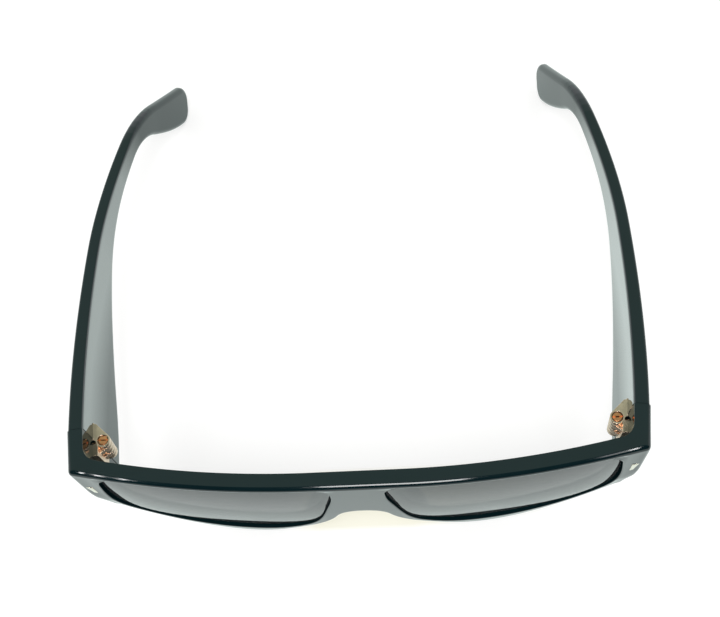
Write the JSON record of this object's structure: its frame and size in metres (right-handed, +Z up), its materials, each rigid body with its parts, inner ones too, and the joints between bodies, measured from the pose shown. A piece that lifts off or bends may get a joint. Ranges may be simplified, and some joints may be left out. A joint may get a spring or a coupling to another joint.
{
  "type": "square aviator sunglasses",
  "caption": "Black acetate sunglasses with a flat-topped bent front, grey lenses, wide tapering temples on knuckle hinges and small gold corner plaques.",
  "frame": {"origin": "centre of the footprint, on the table plane that the lower rims and the temple tips stand on", "axes": "+Z up, -Y out of the front of the lenses, +Y back along the open temples, +X to the right as seen from the front"},
  "size_m": [0.1454, 0.155, 0.045],
  "materials": {
    "acetate": "polished black acetate",
    "temple_acetate": "polished black acetate",
    "pad_acetate": "polished black acetate",
    "lens": "grey tint, darker towards the top",
    "hinge_metal": "pale gold plate",
    "plaque_metal": "polished pale gold",
    "screw_metal": "copper-gold",
    "core_steel": "drawn wire"
  },
  "bodies": {
    "front": {"front_frame": "acetate", "lens_left": "lens", "lens_right": "lens", "front_hinge_left": "hinge_metal", "front_hinge_right": "hinge_metal", "corner_plaque_left": "plaque_metal", "corner_plaque_right": "plaque_metal", "nose_pad_left": "pad_acetate", "nose_pad_right": "pad_acetate"},
    "left_temple": {"temple_left": "temple_acetate", "core_wire_left": "core_steel", "temple_hinge_left": "hinge_metal", "hinge_screw_left": "screw_metal"},
    "right_temple": {"temple_right": "temple_acetate", "core_wire_right": "core_steel", "temple_hinge_right": "hinge_metal", "hinge_screw_right": "screw_metal"}
  },
  "joints": [
    {"name": "temple_right_fold", "type": "hinge", "parent": "front", "child": "right_temple", "pos_m": [0.0628, -0.05949, 0.03433], "axis": [0, 0, 1], "range_deg": [0, 89.9]},
    {"name": "temple_left_fold", "type": "hinge", "parent": "front", "child": "left_temple", "pos_m": [-0.0628, -0.05949, 0.03433], "axis": [0, 0, -1], "range_deg": [0, 85]}
  ]
}
